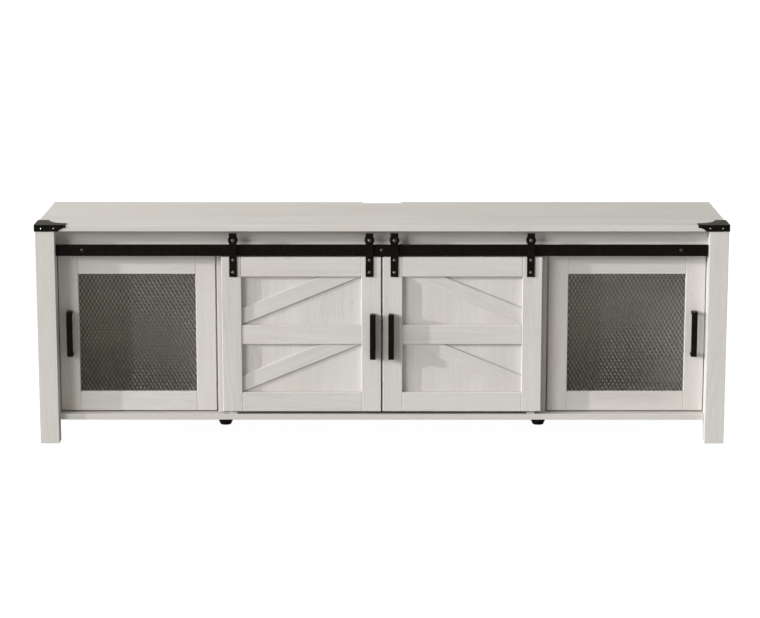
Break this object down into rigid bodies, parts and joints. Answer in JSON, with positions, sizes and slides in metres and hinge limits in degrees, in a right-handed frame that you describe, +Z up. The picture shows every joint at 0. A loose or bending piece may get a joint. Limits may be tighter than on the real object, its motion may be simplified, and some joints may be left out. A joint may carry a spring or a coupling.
{
  "type": "tv stand with doors",
  "caption": "Low farmhouse tv stand in whitewashed oak with sliding barn doors on a black rail between hinged doors filled with expanded metal.",
  "frame": {"origin": "on the floor, under the middle of the bounding box", "axes": "+X to the right along the length, -Y towards the viewer in front of the doors, +Z up"},
  "size_m": [1.806, 0.415, 0.585],
  "materials": {
    "wood_long": "whitewashed oak foil, matt, grain along the length",
    "wood_upright": "whitewashed oak foil, matt, upright grain",
    "wood_slope": "whitewashed oak foil, matt, grain along the brace",
    "back_board": "printed hardboard, matt",
    "mesh_metal": "dark expanded metal, satin",
    "black_metal": "black powder coat, fine texture",
    "black_bolts": "black oxide, satin",
    "screw_steel": "zinc plated",
    "black_nylon": "moulded nylon",
    "white_nylon": "moulded nylon",
    "black_plastic": "moulded plastic, fine texture"
  },
  "bodies": {
    "cabinet": {"bottom_panel": "wood_long", "bracket_screws": "screw_steel", "cam_locks": "screw_steel", "centre_back_panel": "back_board", "door_catches": "white_nylon", "door_guides": "white_nylon", "door_rail": "black_metal", "foot_sleeves": "black_plastic", "front_fascia": "wood_long", "left_back_leg": "wood_upright", "left_back_panel": "back_board", "left_corner_bracket": "black_metal", "left_divider": "wood_upright", "left_front_leg": "wood_upright", "left_side_panel": "wood_upright", "leg_pads": "black_nylon", "pivot_bushes": "white_nylon", "rail_bolts": "black_metal", "rail_spacers": "black_metal", "right_back_leg": "wood_upright", "right_back_panel": "back_board", "right_corner_bracket": "black_metal", "right_divider": "wood_upright", "right_front_leg": "wood_upright", "right_side_panel": "wood_upright", "shelf": "wood_long", "shelf_pins": "screw_steel", "top_panel": "wood_long"},
    "left_barn_door": {"left_barn_panel": "wood_upright", "left_barn_stiles": "wood_upright", "left_barn_rails": "wood_long", "left_barn_braces": "wood_slope", "left_barn_handle": "black_metal", "left_barn_hangers": "black_metal", "left_barn_fixings": "black_bolts"},
    "left_outer_roller": {"left_outer_roller": "black_nylon"},
    "left_inner_roller": {"left_inner_roller": "black_nylon"},
    "left_mesh_door": {"left_mesh_stiles": "wood_upright", "left_mesh_rails": "wood_long", "left_mesh_sheet": "mesh_metal", "left_mesh_handle": "black_metal", "left_mesh_pivots": "screw_steel", "left_mesh_fixings": "screw_steel"},
    "left_foot_glide": {"left_foot_glide": "black_plastic"},
    "right_barn_door": {"right_barn_panel": "wood_upright", "right_barn_stiles": "wood_upright", "right_barn_rails": "wood_long", "right_barn_braces": "wood_slope", "right_barn_handle": "black_metal", "right_barn_hangers": "black_metal", "right_barn_fixings": "black_bolts"},
    "right_outer_roller": {"right_outer_roller": "black_nylon"},
    "right_inner_roller": {"right_inner_roller": "black_nylon"},
    "right_mesh_door": {"right_mesh_stiles": "wood_upright", "right_mesh_rails": "wood_long", "right_mesh_sheet": "mesh_metal", "right_mesh_handle": "black_metal", "right_mesh_pivots": "screw_steel", "right_mesh_fixings": "screw_steel"},
    "right_foot_glide": {"right_foot_glide": "black_plastic"}
  },
  "joints": [
    {"name": "left_barn_slide", "type": "slide", "parent": "cabinet", "child": "left_barn_door", "axis": [1, 0, 0], "range_m": [-0.375, 0]},
    {"name": "left_mesh_hinge", "type": "hinge", "parent": "cabinet", "child": "left_mesh_door", "pos_m": [-0.4465, -0.13975, 0.29], "axis": [0, 0, 1], "range_deg": [0, 100]},
    {"name": "left_foot_adjust", "type": "slide", "parent": "cabinet", "child": "left_foot_glide", "axis": [0, 0, 1], "range_m": [0, 0.005]},
    {"name": "left_outer_roller_spin", "type": "hinge", "parent": "left_barn_door", "child": "left_outer_roller", "pos_m": [-0.3875, -0.179, 0.5425], "axis": [0, 1, 0], "range_deg": [-1900, 0]},
    {"name": "left_inner_roller_spin", "type": "hinge", "parent": "left_barn_door", "child": "left_inner_roller", "pos_m": [-0.0325, -0.179, 0.5425], "axis": [0, 1, 0], "range_deg": [-1900, 0]},
    {"name": "right_barn_slide", "type": "slide", "parent": "cabinet", "child": "right_barn_door", "axis": [-1, 0, 0], "range_m": [-0.375, 0]},
    {"name": "right_mesh_hinge", "type": "hinge", "parent": "cabinet", "child": "right_mesh_door", "pos_m": [0.4465, -0.13975, 0.29], "axis": [0, 0, -1], "range_deg": [0, 100]},
    {"name": "right_foot_adjust", "type": "slide", "parent": "cabinet", "child": "right_foot_glide", "axis": [0, 0, 1], "range_m": [0, 0.005]},
    {"name": "right_outer_roller_spin", "type": "hinge", "parent": "right_barn_door", "child": "right_outer_roller", "pos_m": [0.3875, -0.179, 0.5425], "axis": [0, -1, 0], "range_deg": [-1900, 0]},
    {"name": "right_inner_roller_spin", "type": "hinge", "parent": "right_barn_door", "child": "right_inner_roller", "pos_m": [0.0325, -0.179, 0.5425], "axis": [0, -1, 0], "range_deg": [-1900, 0]}
  ],
  "couplings": [
    {"joint": "left_outer_roller_spin", "follows": "left_barn_slide", "rad_per_m": 86.957},
    {"joint": "left_inner_roller_spin", "follows": "left_barn_slide", "rad_per_m": 86.957},
    {"joint": "right_outer_roller_spin", "follows": "right_barn_slide", "rad_per_m": 86.957},
    {"joint": "right_inner_roller_spin", "follows": "right_barn_slide", "rad_per_m": 86.957}
  ]
}
